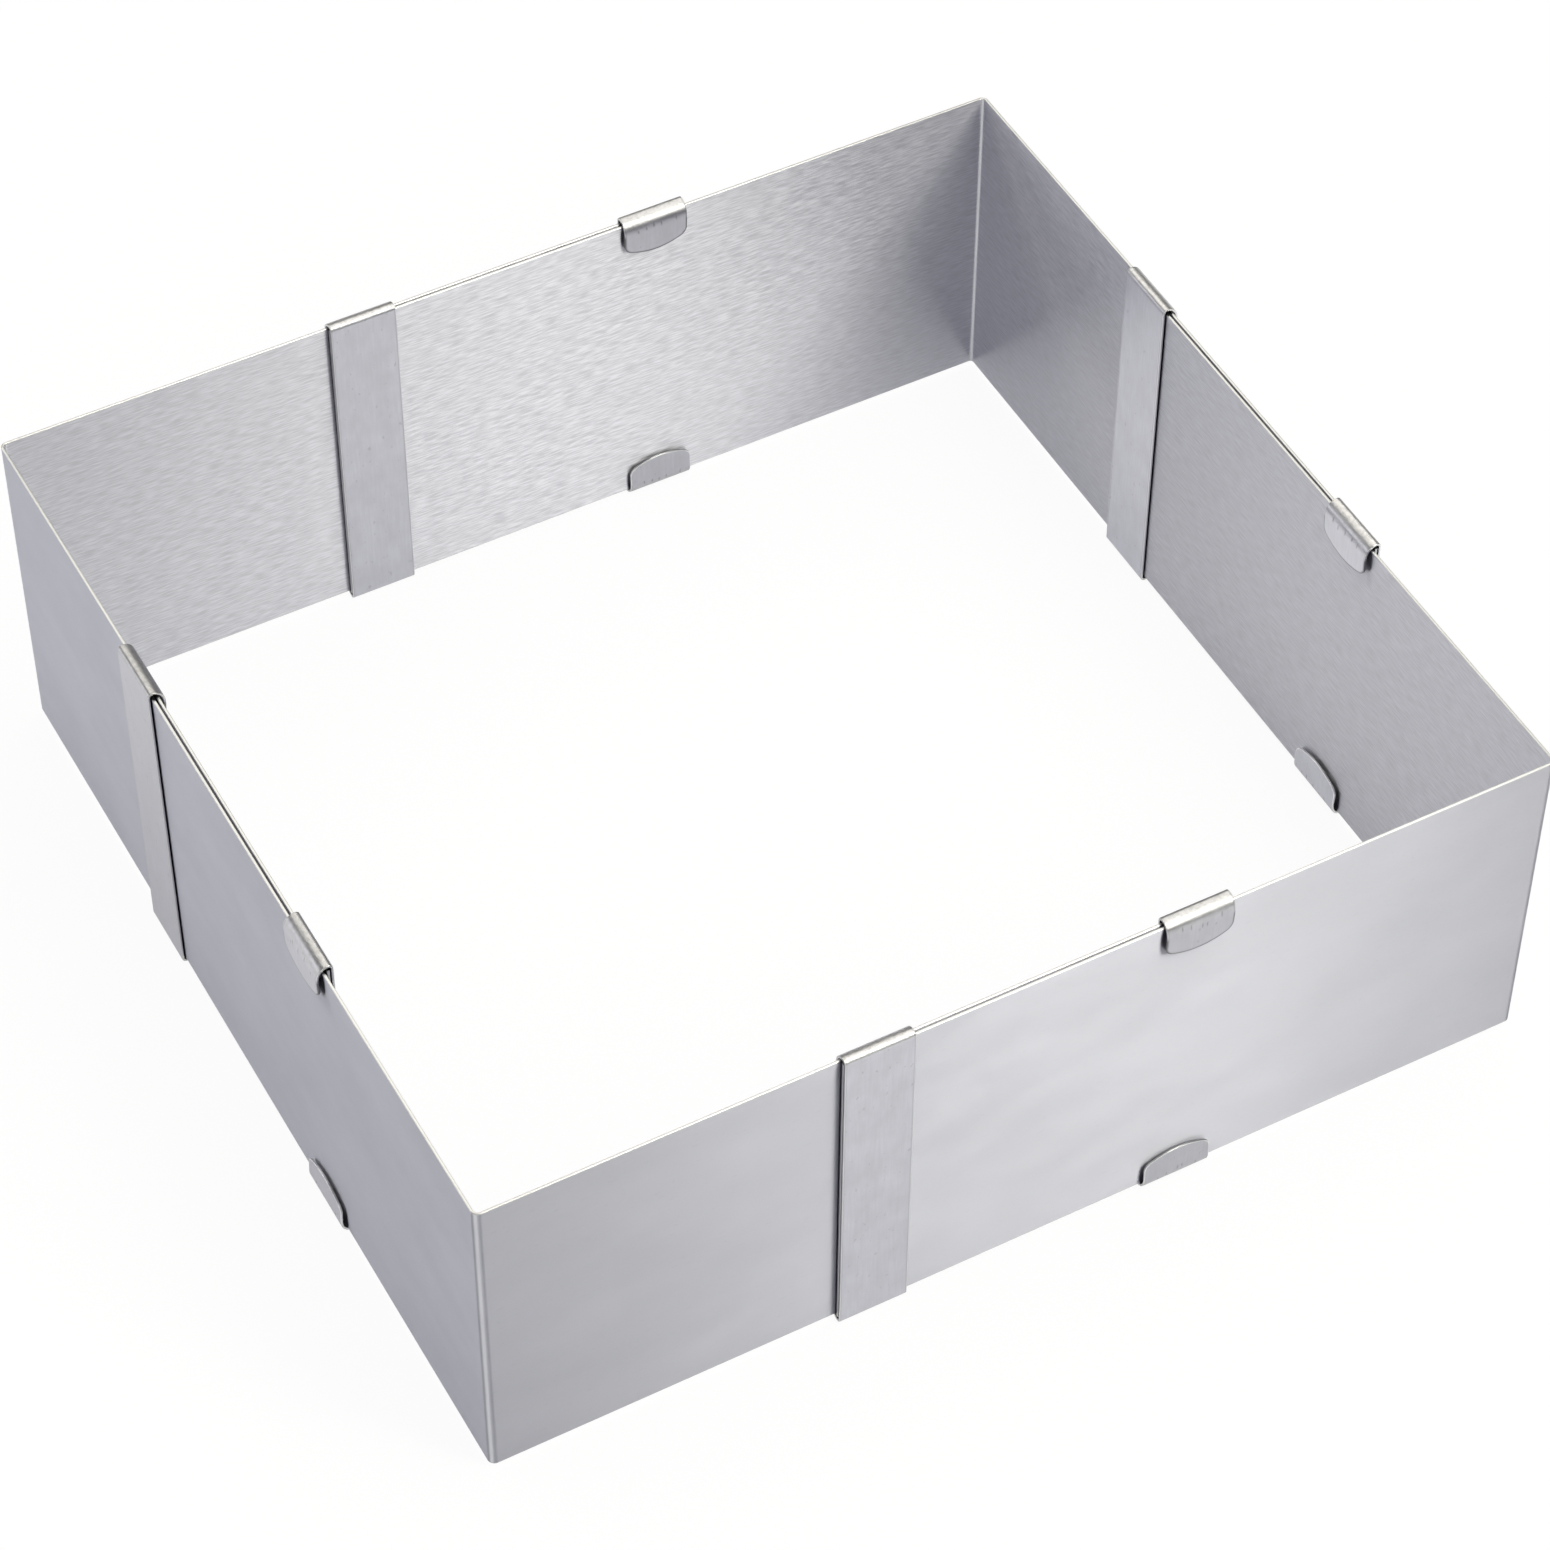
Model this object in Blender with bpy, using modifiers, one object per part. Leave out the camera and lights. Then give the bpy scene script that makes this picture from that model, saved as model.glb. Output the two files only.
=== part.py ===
"""Adjustable cake frame in brushed stainless steel, in metres, +Z up.

Four equal L-shaped sheets stand in a square, each a quarter turn from the last. Every wall is two
sheets deep where they overlap: the outer leg of one sheet lies over the inner leg of the next.
A folded guide clip sits on the free end of each leg. Its strip is fixed to its own leg, its folds
pass over the top and bottom edges of both sheets, and its tabs hook round the other sheet, so the
two slide along each other and the frame changes its width and its depth.

The origin is at the middle of the frame, on the surface that the clips stand on.
"""

import math

import bmesh
import bpy

# Frame as it stands: between the middle planes of facing walls
FRAME_WIDTH = 0.235
FRAME_DEPTH = 0.225

# Corner sheets
WALL_HEIGHT = 0.080
SHEET_THICKNESS = 0.0006
LEG_LENGTH = 0.160
BEND_RADIUS = 0.0015

# Guide clips
CLIP_WIDTH = 0.015
CLIP_THICKNESS = 0.0005
FOLD_RADIUS = 0.0015
TAB_LENGTH = 0.0078
TAB_BOW = 0.0020
TAB_FLARE = 0.0008
TAB_CORNER_RADIUS = 0.0014

# Clearances
SLIDE_GAP = 0.0004
SEAT_GAP = 0.0003
TAB_GAP = 0.0008
EDGE_GAP = 0.0008

# Fineness of round stretches
BEND_STEPS = 8
FOLD_STEPS = 5
TAB_COLUMNS = 20

# Worked out from the sizes above
QUARTER_TURN = math.pi / 2
CLIP_RISE = EDGE_GAP + CLIP_THICKNESS
SHEET_OFFSET = (SLIDE_GAP + SHEET_THICKNESS) / 2
STRIP_OFFSET = SLIDE_GAP / 2 + SHEET_THICKNESS + SEAT_GAP + CLIP_THICKNESS / 2
TAB_OFFSET = SLIDE_GAP / 2 + SHEET_THICKNESS + TAB_GAP + CLIP_THICKNESS / 2

# Colour, roughness and metallic value of the two finishes
BRUSHED_SHEET = ((0.50, 0.50, 0.56, 1.0), 0.32, 1.0)
PRESSED_CLIP = ((0.56, 0.56, 0.63, 1.0), 0.36, 1.0)


def clear_scene():
    for obj in list(bpy.data.objects):
        bpy.data.objects.remove(obj, do_unlink=True)


def make_material(name, finish):
    color, roughness, metallic = finish
    material = bpy.data.materials.new(name)
    material.use_nodes = True
    shader = material.node_tree.nodes["Principled BSDF"]
    shader.inputs["Base Color"].default_value = color
    shader.inputs["Roughness"].default_value = roughness
    shader.inputs["Metallic"].default_value = metallic
    return material


def arc(center, radius, start, end, steps):
    """Points of a round stretch, from one angle to another, both ends among them."""
    angles = (start + (end - start) * step / steps for step in range(steps + 1))
    return [
        (center[0] + radius * math.cos(a), center[1] + radius * math.sin(a)) for a in angles
    ]


def bent_blank(name, rows, columns, place, thickness):
    """A flat blank bent to shape: a grid whose points go where place(row, column) says.

    The grid is the middle of the metal, and Solidify gives it its thickness on both sides.
    """
    bm = bmesh.new()
    bmesh.ops.create_grid(bm, x_segments=columns, y_segments=rows, size=1)
    for vertex in bm.verts:
        column = round((vertex.co.x + 1) / 2 * columns)
        row = round((vertex.co.y + 1) / 2 * rows)
        vertex.co = place(row, column)
    mesh = bpy.data.meshes.new(name)
    bm.to_mesh(mesh)
    bm.free()
    mesh.shade_smooth()
    mesh.set_sharp_from_angle(angle=QUARTER_TURN / 2)
    obj = bpy.data.objects.new(name, mesh)
    solidify = obj.modifiers.new("Sheet metal", "SOLIDIFY")
    solidify.thickness = thickness
    solidify.offset = 0
    solidify.use_even_offset = True
    return obj


def corner_path():
    """The bent sheet seen from above: up its outer leg to the corner, round, along its inner leg."""
    radius = BEND_RADIUS - SHEET_THICKNESS / 2
    center = (radius - SHEET_OFFSET, radius + SHEET_OFFSET)
    bend = arc(center, radius, math.pi, math.pi + QUARTER_TURN, BEND_STEPS)
    return [(-SHEET_OFFSET, LEG_LENGTH)] + bend + [(LEG_LENGTH, SHEET_OFFSET)]


def make_corner_sheet(name, material):
    path = corner_path()

    def place(row, column):
        x, y = path[column]
        return (x, y, CLIP_RISE + WALL_HEIGHT * row)

    sheet = bent_blank(name, 1, len(path) - 1, place, SHEET_THICKNESS)
    sheet.data.materials.append(material)
    return sheet


def clip_path():
    """The clip seen from its end, as (offset from the wall's middle, height), tab to tab.

    The strip stands on the positive side, and both tabs on the negative side. A tab leans out, so
    its free edge stands TAB_FLARE further from the sheets than its fold does.
    """
    radius = FOLD_RADIUS - CLIP_THICKNESS / 2
    low = FOLD_RADIUS
    high = WALL_HEIGHT + 2 * CLIP_RISE - FOLD_RADIUS
    near, far = radius - TAB_OFFSET, STRIP_OFFSET - radius
    free = -TAB_OFFSET - TAB_FLARE
    full, half = math.pi, QUARTER_TURN
    return (
        [(free, TAB_LENGTH)]
        + arc((near, low), radius, full, full + half, FOLD_STEPS)
        + arc((far, low), radius, -half, 0, FOLD_STEPS)
        + arc((far, high), radius, 0, half, FOLD_STEPS)
        + arc((near, high), radius, half, full, FOLD_STEPS)
        + [(free, WALL_HEIGHT + 2 * CLIP_RISE - TAB_LENGTH)]
    )


def tab_reach(across):
    """How far the tab's free edge stands past TAB_LENGTH at this distance from its middle.

    The edge is a shallow bow, and a quarter round of TAB_CORNER_RADIUS ends it at each side.
    """
    half_width = CLIP_WIDTH / 2
    bow = TAB_BOW * (1 - (across / half_width) ** 2)
    into_corner = max(0, abs(across) - (half_width - TAB_CORNER_RADIUS))
    corner = TAB_CORNER_RADIUS - math.sqrt(max(0, TAB_CORNER_RADIUS**2 - into_corner**2))
    return bow - corner


def make_guide_clip(name, material):
    """A clip along +X, its free end at x = 0, its strip on the +Y side of the wall's middle."""
    path = clip_path()
    last = len(path) - 1

    def place(row, column):
        across = -CLIP_WIDTH / 2 * math.cos(math.pi * column / TAB_COLUMNS)
        offset, height = path[row]
        if row == 0:
            height += tab_reach(across)
        if row == last:
            height -= tab_reach(across)
        return (across - CLIP_WIDTH / 2, offset, height)

    clip = bent_blank(name, last, TAB_COLUMNS, place, CLIP_THICKNESS)
    clip.data.materials.append(material)
    return clip


def make_corner(name, parent, location, turn, parts, sheet_steel, clip_steel):
    """One sliding corner: an empty at the corner, and its sheet and two clips on it."""
    corner = bpy.data.objects.new(name + "_corner", None)
    corner.empty_display_size = CLIP_WIDTH
    corner.parent = parent
    corner.location = location
    corner.rotation_euler.z = turn
    parts.objects.link(corner)

    sheet = make_corner_sheet(name + "_corner_sheet", sheet_steel)
    inner = make_guide_clip(name + "_inner_clip", clip_steel)
    inner.location.x = LEG_LENGTH
    outer = make_guide_clip(name + "_outer_clip", clip_steel)
    outer.location.y = LEG_LENGTH
    outer.rotation_euler.z = QUARTER_TURN
    for piece in (sheet, inner, outer):
        piece.parent = corner
        parts.objects.link(piece)
    return corner


def main():
    clear_scene()
    parts = bpy.data.collections.new("Adjustable cake frame")
    bpy.context.scene.collection.children.link(parts)
    sheet_steel = make_material("Brushed sheet steel", BRUSHED_SHEET)
    clip_steel = make_material("Pressed clip steel", PRESSED_CLIP)
    finishes = (parts, sheet_steel, clip_steel)

    front = make_corner(
        "front", None, (-FRAME_WIDTH / 2, -FRAME_DEPTH / 2, 0), 0, *finishes
    )
    right = make_corner("right", front, (FRAME_WIDTH, 0, 0), QUARTER_TURN, *finishes)
    make_corner("back", right, (FRAME_DEPTH, 0, 0), QUARTER_TURN, *finishes)
    make_corner("left", front, (0, FRAME_DEPTH, 0), -QUARTER_TURN, *finishes)


if __name__ == "__main__":
    main()
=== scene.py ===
"""Adjustable cake frame in brushed stainless steel: the look of its sheets, clips and studio.

Four L-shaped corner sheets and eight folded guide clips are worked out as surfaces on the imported
frame's own measures. Every piece rides on its sliding corner.
"""

import math

import bpy
import numpy as np
from bpy.props import FloatProperty, FloatVectorProperty, PointerProperty
from mathutils import Matrix, Vector


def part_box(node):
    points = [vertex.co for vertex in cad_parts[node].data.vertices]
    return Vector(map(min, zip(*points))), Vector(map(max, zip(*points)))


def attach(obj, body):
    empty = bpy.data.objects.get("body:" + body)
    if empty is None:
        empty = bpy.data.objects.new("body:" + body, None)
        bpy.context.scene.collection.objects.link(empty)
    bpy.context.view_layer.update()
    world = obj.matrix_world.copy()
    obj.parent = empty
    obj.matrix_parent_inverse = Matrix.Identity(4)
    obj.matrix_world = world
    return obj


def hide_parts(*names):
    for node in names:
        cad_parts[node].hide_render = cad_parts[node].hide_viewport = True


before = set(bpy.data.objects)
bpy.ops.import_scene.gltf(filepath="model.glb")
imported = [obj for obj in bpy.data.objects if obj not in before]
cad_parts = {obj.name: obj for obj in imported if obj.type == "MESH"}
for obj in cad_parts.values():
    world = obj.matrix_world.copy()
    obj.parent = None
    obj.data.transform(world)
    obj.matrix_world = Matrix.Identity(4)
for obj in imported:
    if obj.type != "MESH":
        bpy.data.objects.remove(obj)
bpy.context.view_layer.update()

bl_info = {
    "name": "Adjustable cake frame",
    "version": (1, 0, 0),
    "blender": (4, 5, 0),
    "location": "View3D > Sidebar > Cake frame",
    "description": "Dresses the sliding cake frame: brushed corner sheets, guide clips and a studio",
    "category": "Object",
}

MM = 0.001
QUARTER = math.pi / 2

# Boxes of the front corner's sheet, and of the clip on its inner leg
FRONT_LOW, FRONT_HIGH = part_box("front_corner_sheet")
CLIP_LOW, CLIP_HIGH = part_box("front_inner_clip")

# Corner, quarter turns from the front corner, and which end of X and Y it stands at
CORNERS = (("front", 0, 0, 0), ("right", 1, 1, 0), ("back", 2, 1, 1), ("left", 3, 0, 1))

# Single clips painted lighter or darker than the others, as painted light and shade for what each one
# catches and reflects
PAINTED_CLIP_SHADES = {
    "right_inner_clip": 1.12, "back_outer_clip": 1.12, "front_outer_clip": 0.94,
    "front_inner_clip": 0.88, "left_outer_clip": 0.87,
}

# Rows of points over an edge's round, and where the first row past it stands, in rounds
EDGE_ROWS = 5
PAST_EDGE = 1.4

# Rows of points of a sheet: along a leg, round the bend and up the wall
LEG_ROWS = 45
BEND_ROWS = 17
WALL_ROWS = 21

# Rows of points of a clip: up a tab, over its eased fold, round to the strip and up the strip
TAB_ROWS = 9
EASED_ROWS = 34
ROUND_ROWS = 9
STRIP_ROWS = 30

# Columns of points of a clip: at a tab's corner, over the middle and over one nick
CORNER_COLUMNS = 7
MIDDLE_COLUMNS = 20
NICK_COLUMNS = 13

# Points that a clip's middle line is summed over, in the eased fold and in the round after it, and
# points that stand for the free edge of a tab
EASED_STEPS = 400
ROUND_STEPS = 100
FREE_EDGE_POINTS = 301

# Nicks that the bending die leaves across a fold: their even places, how far they stray from
# them, and how far the close columns over a nick reach to each side
NICKS = np.array([-4.6, -2.6, -0.4, 1.9, 4.3]) * MM
NICK_STRAY = 0.7 * MM
NICK_REACH = 0.45 * MM
FIRST_CLIP_SEED = 40

# How deep the look of a cut edge goes, in rounds of that edge
RIM_DEPTH = 1.2

# Where the painted shadow line round a clip has died out, in its own widths, and its strength on the
# strip
SHADOW_LINE_END = 1.6
STRIP_SHADOW_LINE = 0.35

# Half the width of the painted highlight down a bend, and how softly it ends
BEND_HIGHLIGHT_HALF_WIDTH = 0.45 * MM
BEND_HIGHLIGHT_FADE = 0.3 * MM

# How far the stretches of grain on two pieces lie apart, in metres
SHEET_GRAIN_SHIFT = 0.5
CLIP_GRAIN_SHIFT = (0.1, 0.3)

# Tones of worn and cut steel, darker in the nicks, and of painted light: a painted highlight down a
# bend, painted shade at the legs' ends, a painted warm highlight on the folds, a painted shadow
# line round the clips and a painted highlight on their rims
BEND_HIGHLIGHT_TONE = (0.70, 0.71, 0.76, 1.0)
CUT_EDGE_TONE = (0.64, 0.64, 0.64, 1.0)
LEG_END_SHADE_TONE = (0.50, 0.50, 0.52, 1.0)
FOLD_HIGHLIGHT_TINT = (0.57, 0.56, 0.535, 1.0)
RUBBED_TONE = (0.34, 0.34, 0.34, 1.0)
NICK_TONE = (0.22, 0.22, 0.23, 1.0)
SHADOW_LINE_TONE = (0.20, 0.20, 0.21, 1.0)
RIM_HIGHLIGHT_TONE = (0.86, 0.86, 0.86, 1.0)
WHITE = (1.0, 1.0, 1.0, 1.0)

# The range of a share, and the range that most values of a noise fill
FULL = (0.0, 1.0)
MOST = (0.3, 0.7)

# Softboxes: place, width and height in metres, setting for the power, and colour
SOFTBOXES = {
    "Key_softbox": ((0.335, -0.66, 0.82), (0.22, 1.0), "key_power", (1.0, 0.985, 0.87)),
    "Back_softbox": ((0.10, 0.76, 1.08), (1.5, 0.6), "back_power", (1.0, 0.97, 0.88)),
    "Top_softbox": ((0.38, 0.05, 1.30), (0.9, 0.9), "top_power", (1.0, 0.98, 0.93)),
    "Left_softbox": ((-0.70, -0.60, 0.60), (1.1, 0.4), "left_power", (1.0, 0.98, 0.95)),
    "Low_softbox": ((-0.88, 0.72, 0.28), (0.9, 0.35), "low_power", (0.98, 0.98, 1.0)),
}
SOFTBOX_AIM = Vector((0, 0, 0.04))

# Floor: its radius and sides, and the share of plain white that the camera and the metal see
FLOOR_RADIUS = 4.0
FLOOR_SIDES = 96
FLOOR_WHITE_SEEN = 0.93
FLOOR_WHITE_REFLECTED = 0.42

# World: its strength on dull surfaces, and in the metal's reflections below the horizon and in the
# room above it, with the height over which the one passes into the other
WORLD_ON_DULL = 0.42
GROUND_REFLECTED = 0.9
ROOM_REFLECTED = 0.18
HORIZON = (0.0, 0.08)

# The photograph's viewpoint: place in metres, then azimuth, elevation and roll in degrees, the
# sensor's width in mm, and the nearest and furthest things that the camera sees, in metres
CAMERA_PLACE = (-0.328752, -0.609657, 0.803035)
CAMERA_ANGLES = (-28.675, 48.217, 0.318)
SENSOR_WIDTH = 36
CAMERA_CLIP = (0.01, 20)


def steel_colour(name, description, default):
    return FloatVectorProperty(
        name=name, description=description, default=default, subtype="COLOR", min=0, max=1
    )


def length(name, description, default):
    return FloatProperty(
        name=name, description=description, default=default, min=0, unit="LENGTH", precision=5
    )


class CakeFrameSheets(bpy.types.PropertyGroup):
    """Sizes and colours of the four corner sheets."""

    thickness: length("Thickness", "Thickness of the sheet", 0.6 * MM)
    slide_gap: length("Slide gap", "Room between the two sheets of a wall", 0.4 * MM)
    bend_radius: length("Bend radius", "Outer radius of the corner bend", 1.5 * MM)
    edge_round: length("Edge round", "Radius of the deburred edges", 0.15 * MM)
    wave: length("Wave", "How far the thin walls swell out of flat", 0.04 * MM)
    inner_colour: steel_colour("Inner face", "Steel of the brushed inner faces", (0.585, 0.588, 0.645))
    outer_colour: steel_colour("Outer face", "Steel of the satin outer faces", (0.465, 0.47, 0.53))


class CakeFrameClips(bpy.types.PropertyGroup):
    """Sizes and colours of the eight guide clips."""

    thickness: length("Thickness", "Thickness of the strip", 0.5 * MM)
    strip_fold: length("Strip fold", "Outer radius of a fold on the strip's side", 1.1 * MM)
    tab_fold: length("Tab fold", "How far a fold reaches from its top to the tab's face", 2.65 * MM)
    ease: FloatProperty(
        name="Ease", description="How gently a tab's fold sets in, 1 is round", default=1.6, min=1
    )
    seat_gap: length("Seat gap", "Room between a strip and its own sheet", 0.3 * MM)
    lean_in: length("Lean in", "How far a tab's free edge is pressed in from its fold", 0.2 * MM)
    tab_length: length("Tab length", "Height of a tab without its bow", 7.8 * MM)
    tab_bow: length("Tab bow", "How far the free edge of a tab bows", 2.0 * MM)
    tab_corner: length("Tab corner", "Radius of a tab's corners", 1.4 * MM)
    edge_round: length("Edge round", "Radius of the stamped edges", 0.13 * MM)
    # This is the width of a painted shadow line under the top tabs and beside the strip
    outline: length("Outline", "Width of the dull line that the stamping leaves round a clip", 0.3 * MM)
    nick_depth: length("Nick depth", "Depth of the marks that the bending die leaves", 0.08 * MM)
    colour: steel_colour("Clip steel", "Steel of the pressed clips", (0.55, 0.553, 0.61))


class CakeFrameStudio(bpy.types.PropertyGroup):
    """Floor, lamps and camera."""

    floor_colour: steel_colour("Floor", "Colour of the pale floor", (0.90, 0.90, 0.90))
    lens: FloatProperty(name="Lens", description="Focal length in mm", default=115.17, min=1)
    key_power: FloatProperty(name="Key lamp", description="Power in watts", default=6.2, min=0)
    back_power: FloatProperty(name="Back lamp", description="Power in watts", default=5.0, min=0)
    top_power: FloatProperty(name="Top lamp", description="Power in watts", default=5.2, min=0)
    low_power: FloatProperty(name="Low lamp", description="Power in watts", default=1.5, min=0)
    left_power: FloatProperty(name="Left lamp", description="Power in watts", default=2.4, min=0)


def corner_places(sheets):
    """Places of the four corners, where the middle planes of two walls meet, from the CAD box."""
    x = FRONT_LOW.x + sheets.slide_gap / 2 + sheets.thickness
    y = FRONT_LOW.y - sheets.slide_gap / 2
    return {name: (-x if far_x else x, -y if far_y else y) for name, _, far_x, far_y in CORNERS}


def leg_length(sheets):
    """From the place of a corner to the end of its legs, from the CAD box."""
    return FRONT_HIGH.x - FRONT_LOW.x - sheets.slide_gap / 2 - sheets.thickness


def turned(points, quarters, place):
    """Points turned about Z by quarter turns and moved to a place: x' = cx - sy, y' = sx + cy."""
    c, s = round(math.cos(quarters * QUARTER)), round(math.sin(quarters * QUARTER))
    x = c * points[..., 0] - s * points[..., 1] + place[0]
    y = s * points[..., 0] + c * points[..., 1] + place[1]
    return np.stack([x, y, points[..., 2]], axis=-1)


def stations(total, rounding, between):
    """Stations from 0 to total: rounding * (1 - cos a) at both ends, and the given ones between.

    Stations less than a nanometre apart become one.
    """
    rim = rounding * (1 - np.cos(np.linspace(0, QUARTER, EDGE_ROWS)))
    rim = np.append(rim, PAST_EDGE * rounding)
    return np.unique(np.round(np.concatenate([rim, between, total - rim]), 9))


def slab(middle, normal, distance, thickness, rounding):
    """Closed metal slab round a middle surface given as grids of points and unit normals.

    Both faces lie at h = t/2 - r + sqrt(r^2 - (r - d)^2) from the middle, where d is a point's
    distance to the blank's outline, up to r; past it h = t/2. A plain rim joins the two faces.
    """
    inset = np.clip(rounding - distance, 0, rounding)
    height = thickness / 2 - rounding + np.sqrt(rounding**2 - inset**2)
    rows, columns = distance.shape
    raised = middle + normal * height[..., None]
    sunken = middle - normal * height[..., None]
    points = np.concatenate([raised.reshape(-1, 3), sunken.reshape(-1, 3)])

    index = np.arange(rows * columns).reshape(rows, columns)
    a, b, c, d = index[:-1, :-1], index[1:, :-1], index[1:, 1:], index[:-1, 1:]
    face = np.stack([a, b, c, d], axis=-1).reshape(-1, 4)
    back = face[:, ::-1] + rows * columns
    ring = np.concatenate([index[0, :-1], index[:-1, -1], index[-1, :0:-1], index[:0:-1, 0]])
    after = np.roll(ring, -1)
    rim = np.stack([ring, after, after + rows * columns, ring + rows * columns], axis=-1)
    faces = np.concatenate([face, back, rim])
    return points, outward(points, faces)


def outward(points, faces):
    """The faces, turned round if the volume they close comes out negative."""
    p = points[faces]
    volume = (p[:, 0] * np.cross(p[:, 1], p[:, 2])).sum() + (p[:, 0] * np.cross(p[:, 2], p[:, 3])).sum()
    return faces if volume > 0 else faces[:, ::-1]


def both_faces(values):
    """One value for each point of a slab, the same on its two faces."""
    return np.tile(values.ravel(), 2)


def make_piece(name, points, faces, grain, attributes, material):
    """A smooth mesh object; its grain map holds the places across and along the grain, in metres."""
    mesh = bpy.data.meshes.new(name)
    mesh.from_pydata(points.tolist(), [], faces.tolist())
    loops = np.zeros(len(mesh.loops), np.int32)
    mesh.loops.foreach_get("vertex_index", loops)
    layer = mesh.uv_layers.new(name="grain")
    layer.data.foreach_set("uv", np.tile(grain, (2, 1))[loops].astype(np.float32).ravel())
    for key, values in attributes.items():
        attribute = mesh.attributes.new(key, "FLOAT", "POINT")
        attribute.data.foreach_set("value", values.astype(np.float32))
    mesh.shade_smooth()
    mesh.materials.append(material)
    mesh.update()
    piece = bpy.data.objects.new(name, mesh)
    bpy.context.scene.collection.objects.link(piece)
    return piece


def corner_line(sheets, leg):
    """Stations along a bent sheet's middle line, with its points and outward normals in plan.

    Straight down the outer leg, a quarter round of the bend's middle radius, and straight along
    the inner leg. The line is a function of its length s alone. The bend's middle comes last.
    """
    offset = (sheets.slide_gap + sheets.thickness) / 2
    radius = sheets.bend_radius - sheets.thickness / 2
    centre = np.array([radius - offset, radius + offset])
    bend_start = leg - centre[1]
    bend = radius * QUARTER
    bend_end = bend_start + bend
    total = bend_end + leg - centre[0]
    inset, into_legs, clear = 2 * MM, 0.2 * MM, 0.5 * MM
    s = stations(total, sheets.edge_round, np.concatenate([
        np.linspace(inset, bend_start - clear, LEG_ROWS),
        np.linspace(bend_start - into_legs, bend_end + into_legs, BEND_ROWS),
        np.linspace(bend_end + clear, total - inset, LEG_ROWS),
    ]))
    angle = math.pi + np.clip(s - bend_start, 0, bend) / radius
    outside = np.stack([np.cos(angle), np.sin(angle)], axis=-1)
    x = centre[0] + radius * outside[:, 0] + np.clip(s - bend_end, 0, None)
    y = centre[1] + radius * outside[:, 1] + np.clip(bend_start - s, 0, None)
    return s, np.stack([x, y], axis=-1), outside, bend_start + bend / 2


def swell(from_bend, s, z, leg, amount, seed):
    """How far a thin wall stands out of flat: slow sines of s and z, dying out at bend and ends.

    Each sine turns by a radian over its own length, short or long.
    """
    fade, flat_end = 30 * MM, 2 * MM
    quiet = np.clip(from_bend / fade, 0, 1) ** 2 * np.clip((leg - flat_end - from_bend) / fade, 0, 1)
    short_s, short_z, long_s, long_z = 40 * MM, 60 * MM, 70 * MM, 110 * MM
    phase_s, phase_z, phase_long = 1.7 * seed, 0.8 * seed, 2.9 * seed
    short = np.sin(s / short_s + phase_s) * np.cos(z / short_z + phase_z)
    long = np.sin(s / long_s + phase_long + z / long_z)
    short_share, long_share = 0.3, 0.7
    return amount * quiet * (short_share * short + long_share * long)


def make_corner_sheet(name, quarters, place, sheets, material):
    """One L-shaped sheet: its middle surface is (corner line at s) + z, swollen along the normal."""
    leg = leg_length(sheets)
    tall = FRONT_HIGH.z - FRONT_LOW.z
    inset = 2 * MM
    s, line, outside, bend_at = corner_line(sheets, leg)
    z = stations(tall, sheets.edge_round, np.linspace(inset, tall - inset, WALL_ROWS))
    s_grid, z_grid = np.meshgrid(s, z, indexing="ij")
    from_bend = np.abs(s_grid - bend_at)
    from_leg_end = np.minimum(s_grid, s[-1] - s_grid)

    normal = np.zeros(s_grid.shape + (3,))
    normal[..., :2] = outside[:, None, :]
    middle = np.zeros_like(normal)
    middle[..., :2] = line[:, None, :]
    middle[..., 2] = FRONT_LOW.z + z_grid
    middle += normal * swell(from_bend, s_grid, z_grid, leg, sheets.wave, quarters)[..., None]
    distance = np.minimum(from_leg_end, np.minimum(z_grid, tall - z_grid))
    points, faces = slab(middle, normal, distance, sheets.thickness, sheets.edge_round)

    rim = RIM_DEPTH * sheets.edge_round
    attributes = {
        "inner_face": np.repeat([0.0, 1.0], s_grid.size),
        "cut_edge": both_faces(distance < rim),
        # The legs' ends carry painted shade
        "leg_end": both_faces(from_leg_end < rim),
        # The bend mark carries a painted highlight down the bend
        "bend": both_faces(np.clip((BEND_HIGHLIGHT_HALF_WIDTH - from_bend) / BEND_HIGHLIGHT_FADE, 0, 1)),
    }
    grain = np.stack([z_grid, s_grid + SHEET_GRAIN_SHIFT * quarters], axis=-1).reshape(-1, 2)
    return make_piece(name, turned(points, quarters, place), faces, grain, attributes, material)


def tab_reach(across, clips, half_width):
    """How far a tab's free edge stands past the plain length: a parabola, less the corner rounds."""
    bow = clips.tab_bow * (1 - (across / half_width) ** 2)
    into = np.clip(np.abs(across) - (half_width - clips.tab_corner), 0, clips.tab_corner)
    return bow - clips.tab_corner + np.sqrt(clips.tab_corner**2 - into**2)


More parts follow.
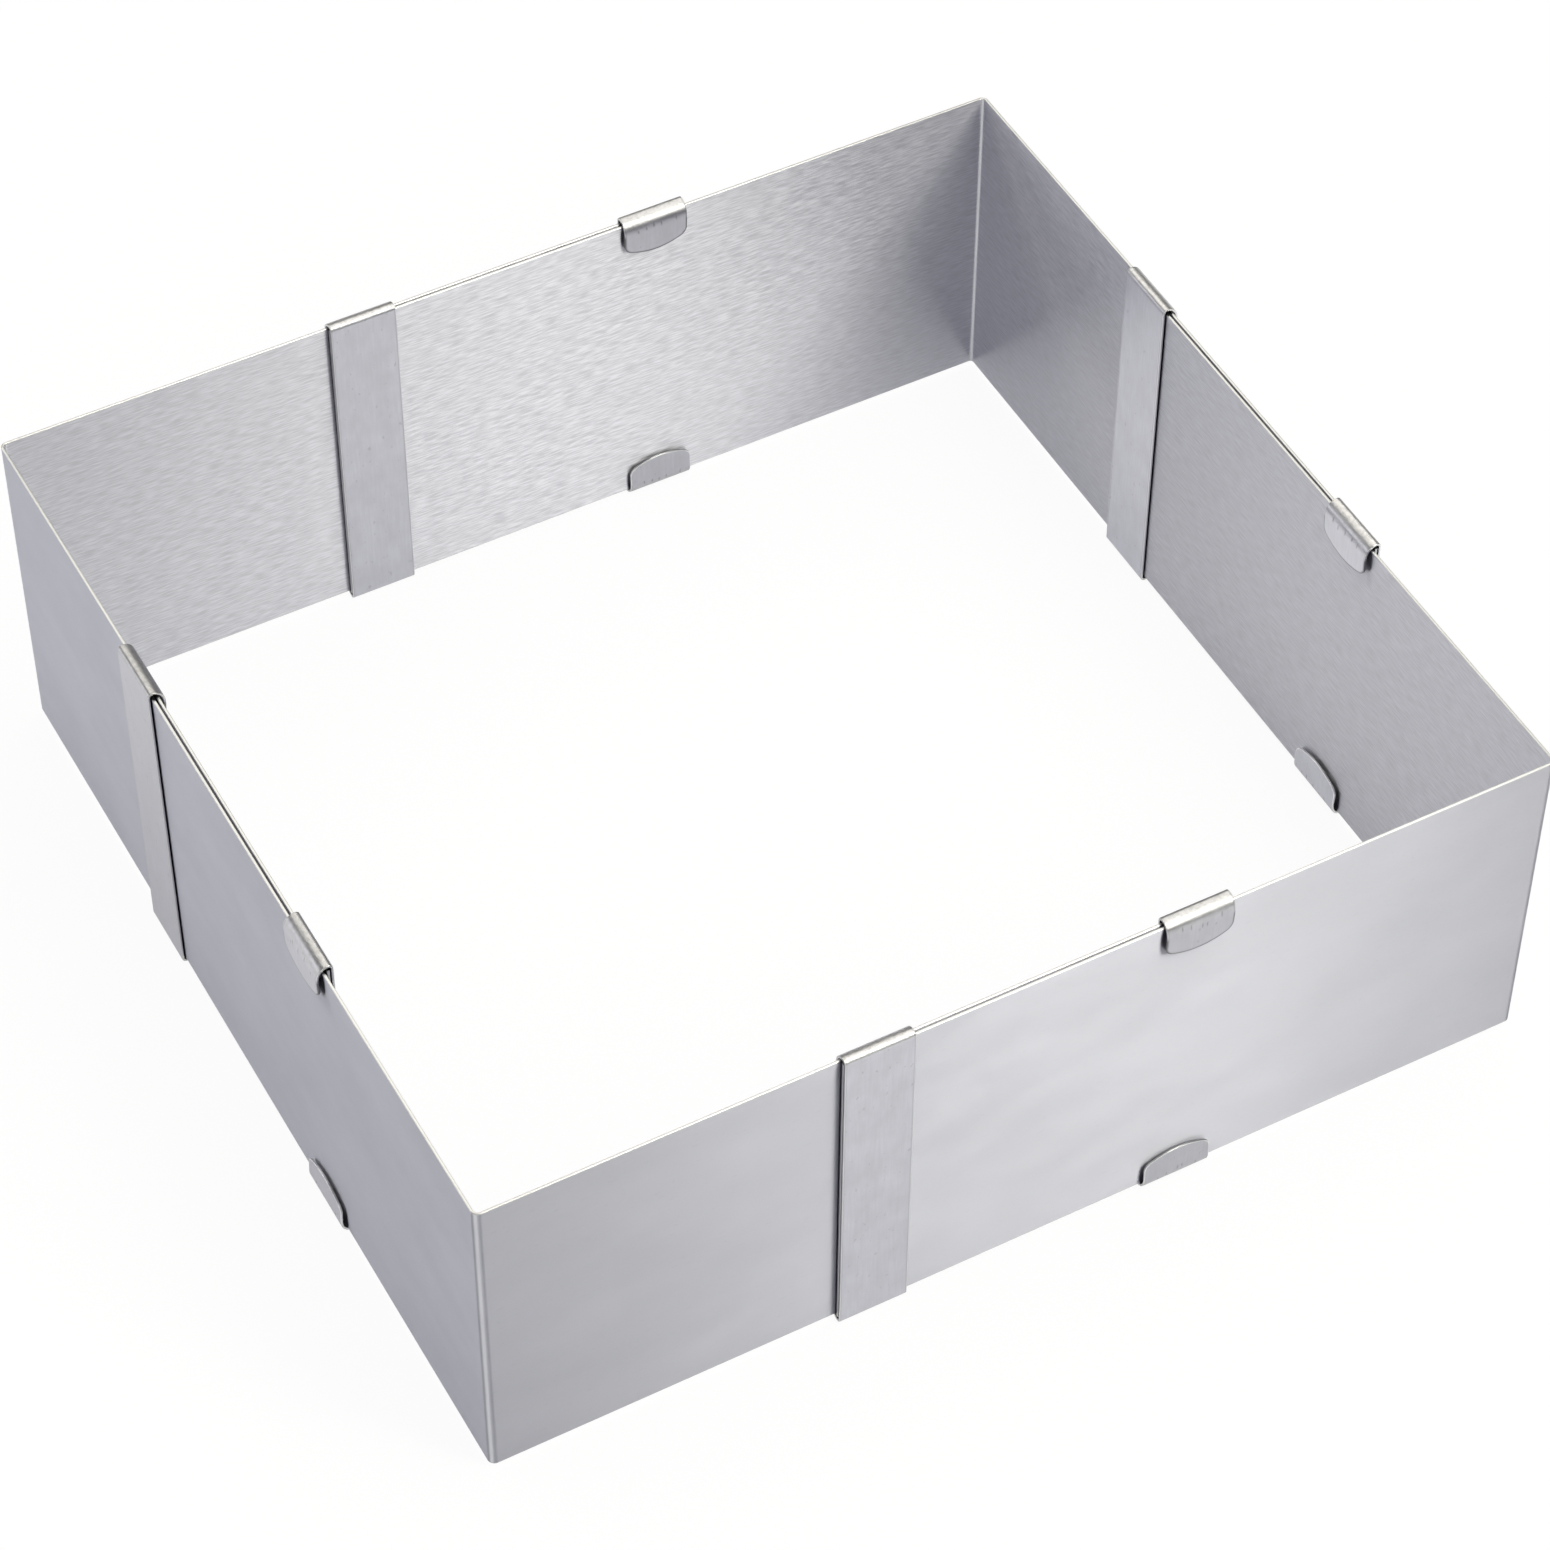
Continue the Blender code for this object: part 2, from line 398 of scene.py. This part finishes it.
def clip_line(clips, strip_offset, tall):
    """Half of a clip's middle line, from a tab's free edge to the middle of the strip.

    Gives lengths along it, and at each the offset from the wall's middle, the height, and how far
    the outward direction has turned. The tab leans in by a small angle, and the fold then turns as
    lean + (quarter - lean) * x^ease up to its top, x being the share of its length. A round of the
    strip's radius follows, and the strip stands upright. The points are running sums of the
    direction. Also gives the lengths at the tab's end, at the fold's top and at the strip's start.
    """
    half_thick = clips.thickness / 2
    near, far = clips.strip_fold - half_thick, clips.tab_fold - half_thick
    lean = -math.atan(clips.lean_in / (clips.tab_length - clips.tab_fold))
    x = np.linspace(0, 1, EASED_STEPS)
    eased = lean + (QUARTER - lean) * x**clips.ease
    wide = far / np.sin(eased).mean()
    tab_end = (clips.tab_length - half_thick - wide * np.cos(eased).mean()) / math.cos(lean)
    fold_top = tab_end + wide
    strip_start = fold_top + near * QUARTER
    strip_middle = strip_start + tall / 2 - clips.strip_fold

    y = np.linspace(0, 1, ROUND_STEPS)
    s = np.concatenate([[0], tab_end + wide * x[:-1], fold_top + near * QUARTER * y, [strip_middle]])
    turn = np.concatenate([[lean], eased[:-1], QUARTER + QUARTER * y, [math.pi]])
    step = np.diff(s)
    direction = (turn[1:] + turn[:-1]) / 2
    offset = np.append(0, np.cumsum(np.sin(direction) * step))
    height = np.append(0, np.cumsum(-np.cos(direction) * step))
    top = len(x)
    offset = strip_offset - near + offset - offset[top]
    height = half_thick + height - height[top]
    return s, offset, height, turn, (tab_end, fold_top, strip_start)


def clip_rows(clips, total, tab_end, fold_top, strip_start):
    """Stations along a clip, alike from both ends and close together over the folds."""
    clear = 0.5 * MM
    last_apart, first_close = tab_end - 0.6 * MM, tab_end - 0.4 * MM
    half_rows = np.concatenate([
        np.linspace(clear, last_apart, TAB_ROWS),
        np.linspace(first_close, fold_top, EASED_ROWS),
        np.linspace(fold_top, strip_start, ROUND_ROWS),
    ])
    strip_rows = np.linspace(strip_start + clear, total - strip_start - clear, STRIP_ROWS)
    return stations(total, clips.edge_round, np.concatenate([half_rows, total - half_rows, strip_rows]))


def clip_columns(clips, width, nicks):
    """Stations across a clip, measured from its middle, close together at corners and nicks."""
    first, middle_start, middle_end = 0.35 * MM, 2 * MM, 13 * MM
    corner = np.linspace(first, clips.tab_corner, CORNER_COLUMNS)
    middle = np.linspace(middle_start, middle_end, MIDDLE_COLUMNS)
    over_nicks = np.add.outer(nicks, np.linspace(-NICK_REACH, NICK_REACH, NICK_COLUMNS)).ravel()
    between = np.concatenate([corner, width - corner, middle, over_nicks + width / 2])
    return stations(width, clips.edge_round, between) - width / 2


def outline_distance(from_edge, u_grid, in_tab, clips, half_width):
    """Distance to a clip's outline: to its sides, and in a tab to the nearest free edge point.

    The free edge lies tab_reach past the plain one, and from_edge counts from the plain one.
    """
    edge_u = half_width * np.sin(np.linspace(-1, 1, FREE_EDGE_POINTS) * QUARTER)
    edge_reach = tab_reach(edge_u, clips, half_width)
    gap = np.hypot(from_edge[in_tab][:, None] + edge_reach, u_grid[in_tab][:, None] - edge_u)
    distance = half_width - np.abs(u_grid)
    distance[in_tab] = np.minimum(distance[in_tab], gap.min(axis=1))
    distance[[0, -1]] = 0
    distance[:, [0, -1]] = 0
    return distance


def nick_shares(up_the_fold, u_grid, nicks, chance):
    """How deep the bending die's nicks go, as a share of their full depth.

    Each is exp(-(u / w)^2) across the clip and 1 - (v / r)^2 up the fold, u and v being measured
    from its middle. The middle, the reach r and the width w are random.
    """
    middles, reaches, widths = (-0.2, 1.2), (0.5, 0.9), (0.11, 0.18)
    share = np.zeros_like(u_grid)
    for nick in nicks:
        middle = chance.uniform(*middles) * MM
        reach = chance.uniform(*reaches) * MM
        width = chance.uniform(*widths) * MM
        window = np.clip(1 - ((up_the_fold - middle) / reach) ** 2, 0, 1)
        share += window * np.exp(-(((u_grid - nick) / width) ** 2))
    return share


def make_guide_clip(name, quarters, place, is_outer, shade, clips, sheets, material):
    """One folded clip: its middle line is carried across its width, and its tabs' edges are bowed.

    The upper half mirrors the lower one. A tab's rows are stretched by the reach of its free edge,
    evenly from the fold to just short of the edge, so that the rim keeps its true distance.
    """
    width = CLIP_HIGH.x - CLIP_LOW.x
    half = width / 2
    tall = CLIP_HIGH.z - CLIP_LOW.z
    strip_offset = sheets.slide_gap / 2 + sheets.thickness + clips.seat_gap + clips.thickness / 2
    line_s, line_offset, line_height, line_turn, bends = clip_line(clips, strip_offset, tall)
    total = 2 * line_s[-1]
    tab_end = bends[0]

    seed = 2 * quarters + is_outer
    chance = np.random.default_rng(FIRST_CLIP_SEED + seed)
    nicks = NICKS + chance.uniform(-NICK_STRAY, NICK_STRAY, len(NICKS))
    t_grid, u_grid = np.meshgrid(
        clip_rows(clips, total, *bends), clip_columns(clips, width, nicks), indexing="ij"
    )
    upper = t_grid > total / 2
    along = np.minimum(t_grid, total - t_grid)
    unstretched = 0.4 * MM
    share = 1 - np.clip((along - unstretched) / (tab_end - unstretched), 0, 1)
    stretch = tab_reach(u_grid, clips, half) * share
    offset = np.interp(along, line_s, line_offset)
    height = np.interp(along, line_s, line_height) + stretch
    height = np.where(upper, tall - height, height)
    turn = np.interp(along, line_s, line_turn)
    turn = np.where(upper, 2 * math.pi - turn, turn)
    middle = np.stack([u_grid + leg_length(sheets) - half, offset, height], axis=-1)
    normal = np.stack([np.zeros_like(u_grid), -np.cos(turn), -np.sin(turn)], axis=-1)
    from_edge = along - stretch
    distance = outline_distance(from_edge, u_grid, along < tab_end, clips, half)
    points, faces = slab(middle, normal, distance, clips.thickness, clips.edge_round)

    fold_foot = tab_end + 0.6 * MM
    nick = nick_shares(along - fold_foot, u_grid, nicks, chance)
    points[:nick.size] -= (normal * (clips.nick_depth * nick)[..., None]).reshape(-1, 3)

    past_tab = 1.5 * MM
    near_tab = np.clip((tab_end + past_tab - along) / past_tab, 0, 1)
    # Painted shadow line: full round the top tabs, none on the bottom tabs, weaker round the folds and
    # the strip
    line = np.clip(SHADOW_LINE_END - distance / clips.outline, 0, 1)
    dull = line * np.maximum(near_tab * upper, STRIP_SHADOW_LINE * (1 - near_tab))
    # Painted highlight on the rims: full on the bottom tabs, half round the folds and the strip, none
    # on the top tabs
    rim = distance < RIM_DEPTH * clips.edge_round
    rim_highlight = rim * np.where(upper, 1 - near_tab, 1 + near_tab) / 2
    attributes = {
        "outline": both_faces(dull),
        "bright_rim": both_faces(rim_highlight),
        "fold": both_faces(np.abs(np.sin(turn))),
        "nick": np.append(nick, np.zeros(nick.size)),
        "shade": np.full(2 * nick.size, shade),
    }
    grain = np.stack([u_grid, np.where(upper, total - from_edge, from_edge)], axis=-1)
    grain = grain.reshape(-1, 2) + seed * np.array(CLIP_GRAIN_SHIFT)
    points = turned(points, quarters + is_outer, place)
    return make_piece(name, points, faces, grain, attributes, material)


class Shading:
    """The node tree of a material or a world, built socket by socket."""

    def __init__(self, owner):
        owner.use_nodes = True
        self.owner = owner
        self.tree = owner.node_tree

    def node(self, kind, inputs=None, **settings):
        made = self.tree.nodes.new("ShaderNode" + kind)
        for key, value in settings.items():
            setattr(made, key, value)
        for key, value in (inputs or {}).items():
            self.feed(made.inputs[key], value)
        return made

    def feed(self, socket, value):
        if isinstance(value, bpy.types.NodeSocket):
            self.tree.links.new(value, socket)
        elif isinstance(value, bpy.types.Node):
            self.tree.links.new(value.outputs[0], socket)
        else:
            socket.default_value = value

    def math(self, operation, first, second):
        return self.node("Math", {0: first, 1: second}, operation=operation)

    def spread(self, value, source, target):
        """A value mapped from one range to another, clamped."""
        return self.node("MapRange", {
            "Value": value, "From Min": source[0], "From Max": source[1],
            "To Min": target[0], "To Max": target[1],
        })

    def between(self, share, first, second):
        """A value that goes from the first to the second as the share goes from 0 to 1."""
        return self.node("Mix", {0: share, 2: first, 3: second})

    def blend(self, share, first, second):
        """A colour that goes from the first to the second as the share goes from 0 to 1."""
        return self.node("Mix", {0: share, 6: first, 7: second}, data_type="RGBA").outputs[2]

    def varied(self, share, colour, low, high):
        """A colour times a gain that goes from low to high as the share goes from 0 to 1."""
        return self.blend(share, rgba(colour, low), rgba(colour, high))

    def mark(self, name):
        """The attribute of that name, which the pieces carry."""
        return self.node("Attribute", attribute_name=name).outputs["Fac"]

    def grain_noise(self, across, along, detail, shift=0.0, rough=0.55):
        """Noise on the grain map, with the two sizes of its specks in millimetres."""
        uv = self.node("UVMap", uv_map="grain")
        scaled = self.node("Mapping", {
            "Vector": uv, "Location": (shift, shift, 0),
            "Scale": (1 / MM / across, 1 / MM / along, 1),
        })
        return self.node("TexNoise", {
            "Vector": scaled, "Scale": 1.0, "Detail": detail, "Roughness": rough
        }, noise_dimensions="2D")

    def relief(self, height, strength, distance):
        """A bump on the shader's normal."""
        bump = self.node("Bump", {"Strength": strength, "Distance": distance, "Height": height})
        self.feed(self.tree.nodes["Principled BSDF"].inputs["Normal"], bump)


def rgba(colour, gain=1.0):
    """An opaque colour times a gain, held to 1."""
    return (*(min(1.0, c * gain) for c in colour), 1.0)


def sheet_steel(sheets):
    """Brushed inner faces with short streaks along the sheet, and satin outer faces."""
    m = Shading(bpy.data.materials.new("Brushed sheet steel"))
    inner = m.mark("inner_face")
    edge = m.mark("cut_edge")
    hair = m.grain_noise(across=0.10, along=2.6, detail=1.0, shift=29.0)
    short = m.grain_noise(across=0.30, along=3.8, detail=1.0, rough=0.5)
    long = m.grain_noise(across=0.50, along=11.0, detail=1.0, shift=3.0)
    cloud = m.grain_noise(across=26.0, along=44.0, detail=2.0, shift=7.0)
    smear = m.grain_noise(across=7.0, along=16.0, detail=3.0, shift=11.0)
    specks = m.grain_noise(across=0.8, along=2.6, detail=1.0, shift=19.0)
    long_share, hair_share = 0.28, 0.5
    streak = m.between(long_share, short, long)
    brushing = m.between(hair_share, streak, hair)
    smearing = m.math("ADD", hair, smear)

    streak_gains, cloud_gains, speck_gain, speck_share = (0.89, 1.11), (0.97, 1.03), 0.45, 0.09
    streaked, specked = (0.36, 0.64), (0.73, 0.80)
    inner_tone = m.varied(m.spread(streak, streaked, FULL), sheets.inner_colour, *streak_gains)
    outer_tone = m.varied(m.spread(cloud, MOST, FULL), sheets.outer_colour, *cloud_gains)
    tone = m.blend(inner, outer_tone, inner_tone)
    spot = m.spread(specks, specked, (0.0, speck_share))
    tone = m.blend(spot, tone, rgba(sheets.inner_colour, speck_gain))
    # Painted highlight down the bend
    tone = m.blend(m.mark("bend"), tone, BEND_HIGHLIGHT_TONE)
    tone = m.blend(edge, tone, CUT_EDGE_TONE)
    # Painted shade on the ends of the legs
    tone = m.blend(m.mark("leg_end"), tone, LEG_END_SHADE_TONE)

    brushed, smeared = (0.38, 0.64), (0.75, 1.25)
    inner_range, outer_range, edge_rough = (0.28, 0.46), (0.42, 0.48), 0.30
    inner_rough = m.spread(brushing, brushed, inner_range)
    outer_rough = m.spread(smearing, smeared, outer_range)
    rough = m.between(edge, m.between(inner, outer_rough, inner_rough), edge_rough)
    outer_and_inner_relief, depth = (0.03, 0.10), 0.03 * MM
    m.relief(streak, m.spread(inner, FULL, outer_and_inner_relief), depth)

    sockets = m.tree.nodes["Principled BSDF"].inputs
    m.feed(sockets["Base Color"], tone)
    m.feed(sockets["Roughness"], rough)
    m.feed(sockets["Metallic"], 1.0)
    m.feed(sockets["Anisotropic"], 1.0)
    m.feed(sockets["Tangent"], m.node("Tangent", direction_type="UV_MAP", uv_map="grain"))
    return m.owner


def clip_steel(clips):
    """Rolled steel of the clips: faint grain along the strip, blotches, dented, rubbed folds, and
    painted light and shade: a warm highlight on the folds, a shadow line round the clips, highlights on
    the rims and lighter or darker single clips.
    """
    m = Shading(bpy.data.materials.new("Pressed clip steel"))
    fold = m.mark("fold")
    grain = m.grain_noise(across=0.5, along=9.0, detail=2.0)
    cloud = m.grain_noise(across=5.0, along=7.0, detail=3.0, shift=5.0)
    specks = m.grain_noise(across=1.3, along=2.0, detail=2.0, shift=13.0)
    dents = m.grain_noise(across=0.9, along=0.7, detail=2.0, shift=23.0)

    cloud_gains, grain_gain, speck_gain = (0.93, 1.05), 0.85, 0.5
    grain_share, speck_share, fold_tint_share, rubbed_share, nick_share = 0.35, 0.35, 0.6, 0.4, 0.7
    specked, dented = (0.70, 0.78), (0.42, 0.66)
    tone = m.varied(m.spread(cloud, MOST, FULL), clips.colour, *cloud_gains)
    tone = m.blend(m.spread(grain, MOST, (0.0, grain_share)), tone, rgba(clips.colour, grain_gain))
    spot = m.spread(specks, specked, (0.0, speck_share))
    tone = m.blend(spot, tone, rgba(clips.colour, speck_gain))
    # Painted warm highlight on the folds, as a warmer tint
    tone = m.blend(m.math("MULTIPLY", fold, fold_tint_share), tone, FOLD_HIGHLIGHT_TINT)
    rubbed = m.spread(dents, dented, (0.0, rubbed_share))
    tone = m.blend(m.math("MULTIPLY", rubbed, fold), tone, RUBBED_TONE)
    tone = m.blend(m.math("MULTIPLY", m.mark("nick"), nick_share), tone, NICK_TONE)
    # Painted shadow line round the clip
    tone = m.blend(m.mark("outline"), tone, SHADOW_LINE_TONE)
    # Painted highlight on the rims
    tone = m.blend(m.mark("bright_rim"), tone, RIM_HIGHLIGHT_TONE)
    # Each clip's colour is scaled by its painted light or shade
    shaded = m.node("VectorMath", {0: tone, "Scale": m.mark("shade")}, operation="SCALE")

    clip_range, rougher_fold = (0.32, 0.40), 0.03
    rough = m.spread(cloud, MOST, clip_range)
    worn = m.math("ADD", rough, m.math("MULTIPLY", fold, rougher_fold))
    grain_relief, folded, flat_and_fold_relief, depth = 0.25, (0.1, 0.9), (0.08, 0.45), 0.12 * MM
    height = m.math("ADD", m.math("MULTIPLY", grain, grain_relief), m.math("MULTIPLY", dents, fold))
    m.relief(height, m.spread(fold, folded, flat_and_fold_relief), depth)

    sockets = m.tree.nodes["Principled BSDF"].inputs
    m.feed(sockets["Base Color"], shaded)
    m.feed(sockets["Roughness"], worn)
    m.feed(sockets["Metallic"], 1.0)
    return m.owner


class CAKEFRAME_OT_corner_sheets(bpy.types.Operator):
    """Build the four L-shaped corner sheets on their sliding corners"""

    bl_idname = "cakeframe.corner_sheets"
    bl_label = "Corner sheets"

    def execute(self, context):
        sheets = context.scene.cake_frame_sheets
        material = sheet_steel(sheets)
        places = corner_places(sheets)
        for corner, quarters, _, _ in CORNERS:
            node = corner + "_corner_sheet"
            piece = make_corner_sheet(node + "_brushed", quarters, places[corner], sheets, material)
            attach(piece, corner + "_corner")
            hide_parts(node)
        return {"FINISHED"}


class CAKEFRAME_OT_guide_clips(bpy.types.Operator):
    """Build the eight folded guide clips on the free ends of the legs"""

    bl_idname = "cakeframe.guide_clips"
    bl_label = "Guide clips"

    def execute(self, context):
        sheets, clips = context.scene.cake_frame_sheets, context.scene.cake_frame_clips
        material = clip_steel(clips)
        places = corner_places(sheets)
        for corner, quarters, _, _ in CORNERS:
            for is_outer, side in enumerate(("inner", "outer")):
                node = corner + "_" + side + "_clip"
                piece = make_guide_clip(
                    node + "_folded", quarters, places[corner], is_outer,
                    PAINTED_CLIP_SHADES.get(node, 1.0), clips, sheets, material,
                )
                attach(piece, corner + "_corner")
                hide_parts(node)
        return {"FINISHED"}


def add_softbox(name, place, size, power, colour):
    """A rectangular lamp that faces the middle of the frame."""
    lamp = bpy.data.lights.new(name, "AREA")
    lamp.shape = "RECTANGLE"
    lamp.size, lamp.size_y = size
    lamp.energy = power
    lamp.color = colour
    stand = bpy.data.objects.new(name, lamp)
    stand.location = place
    stand.rotation_euler = (SOFTBOX_AIM - Vector(place)).to_track_quat("-Z", "Y").to_euler()
    bpy.context.scene.collection.objects.link(stand)


def pale_floor(studio):
    """A large disc, mostly plain white for the camera, so that its shadow stays faint."""
    mesh = bpy.data.meshes.new("Studio_floor")
    angle = np.linspace(0, 2 * math.pi, FLOOR_SIDES, endpoint=False)
    ring = np.stack([np.cos(angle), np.sin(angle), np.zeros(FLOOR_SIDES)], axis=-1)
    mesh.from_pydata((FLOOR_RADIUS * ring).tolist(), [], [list(range(FLOOR_SIDES))])
    m = Shading(bpy.data.materials.new("Pale floor"))
    shader = m.tree.nodes["Principled BSDF"]
    m.feed(shader.inputs["Roughness"], 0.9)
    m.feed(shader.inputs["Specular IOR Level"], 0.0)
    m.feed(shader.inputs["Base Color"], rgba(studio.floor_colour))
    white = m.node("Emission", {"Color": WHITE, "Strength": 1.0})
    ray = m.node("LightPath").outputs
    seen = m.math("MULTIPLY", ray["Is Camera Ray"], FLOOR_WHITE_SEEN)
    shiny = m.math("MAXIMUM", ray["Is Glossy Ray"], ray["Is Transmission Ray"])
    share = m.math("MAXIMUM", seen, m.math("MULTIPLY", shiny, FLOOR_WHITE_REFLECTED))
    mix = m.node("MixShader", {0: share, 1: shader, 2: white})
    m.feed(m.tree.nodes["Material Output"].inputs["Surface"], mix)
    mesh.materials.append(m.owner)
    floor = bpy.data.objects.new("Studio_floor", mesh)
    bpy.context.scene.collection.objects.link(floor)


def studio_world():
    """White for the camera, and a plain dim light on dull surfaces.

    The metal's reflections show white below the horizon and a dim room above it.
    """
    w = Shading(bpy.data.worlds.new("Studio"))
    height = w.node("SeparateXYZ", {0: w.node("TexCoord").outputs["Generated"]}).outputs["Z"]
    room = w.spread(height, HORIZON, (GROUND_REFLECTED, ROOM_REFLECTED))
    ray = w.node("LightPath").outputs
    lit = w.between(ray["Is Glossy Ray"], WORLD_ON_DULL, room)
    background = w.tree.nodes["Background"]
    w.feed(background.inputs["Color"], WHITE)
    w.feed(background.inputs["Strength"], w.between(ray["Is Camera Ray"], lit, 1.0))
    bpy.context.scene.world = w.owner


def add_camera(studio):
    """The photograph's viewpoint; its right, up and back directions are the matrix's columns."""
    azimuth, elevation, roll = (math.radians(angle) for angle in CAMERA_ANGLES)
    back = Vector((
        math.sin(azimuth) * math.cos(elevation),
        -math.cos(azimuth) * math.cos(elevation),
        math.sin(elevation),
    ))
    level = Vector((math.cos(azimuth), math.sin(azimuth), 0))
    over = back.cross(level)
    right = math.cos(roll) * level + math.sin(roll) * over
    up = math.cos(roll) * over - math.sin(roll) * level
    data = bpy.data.cameras.new("Camera")
    data.lens = studio.lens
    data.sensor_width = SENSOR_WIDTH
    data.clip_start, data.clip_end = CAMERA_CLIP
    camera = bpy.data.objects.new("Camera", data)
    matrix = Matrix((right, up, back)).transposed().to_4x4()
    matrix.translation = CAMERA_PLACE
    camera.matrix_world = matrix
    bpy.context.scene.collection.objects.link(camera)
    bpy.context.scene.camera = camera


class CAKEFRAME_OT_studio(bpy.types.Operator):
    """Set up the floor, the lamps, the world and the camera"""

    bl_idname = "cakeframe.studio"
    bl_label = "Studio"

    def execute(self, context):
        studio = context.scene.cake_frame_studio
        pale_floor(studio)
        studio_world()
        for name, (place, size, setting, colour) in SOFTBOXES.items():
            add_softbox(name, place, size, getattr(studio, setting), colour)
        add_camera(studio)
        context.scene.view_settings.view_transform = "Standard"
        return {"FINISHED"}


class CAKEFRAME_PT_sidebar(bpy.types.Panel):
    """The cake frame's settings and operators"""

    bl_idname = "CAKEFRAME_PT_sidebar"
    bl_label = "Cake frame"
    bl_space_type = "VIEW_3D"
    bl_region_type = "UI"
    bl_category = "Cake frame"

    def draw(self, context):
        scene = context.scene
        groups = (
            (scene.cake_frame_sheets, "cakeframe.corner_sheets"),
            (scene.cake_frame_clips, "cakeframe.guide_clips"),
            (scene.cake_frame_studio, "cakeframe.studio"),
        )
        for group, operator in groups:
            box = self.layout.box()
            for key in group.__annotations__:
                box.prop(group, key)
            box.operator(operator)


CLASSES = (
    CakeFrameSheets,
    CakeFrameClips,
    CakeFrameStudio,
    CAKEFRAME_OT_corner_sheets,
    CAKEFRAME_OT_guide_clips,
    CAKEFRAME_OT_studio,
    CAKEFRAME_PT_sidebar,
)


def register():
    for cls in CLASSES:
        bpy.utils.register_class(cls)
    bpy.types.Scene.cake_frame_sheets = PointerProperty(type=CakeFrameSheets)
    bpy.types.Scene.cake_frame_clips = PointerProperty(type=CakeFrameClips)
    bpy.types.Scene.cake_frame_studio = PointerProperty(type=CakeFrameStudio)


def unregister():
    del bpy.types.Scene.cake_frame_studio
    del bpy.types.Scene.cake_frame_clips
    del bpy.types.Scene.cake_frame_sheets
    for cls in reversed(CLASSES):
        bpy.utils.unregister_class(cls)


def main():
    register()
    bpy.ops.cakeframe.corner_sheets()
    bpy.ops.cakeframe.guide_clips()
    bpy.ops.cakeframe.studio()


if __name__ == "__main__":
    main()
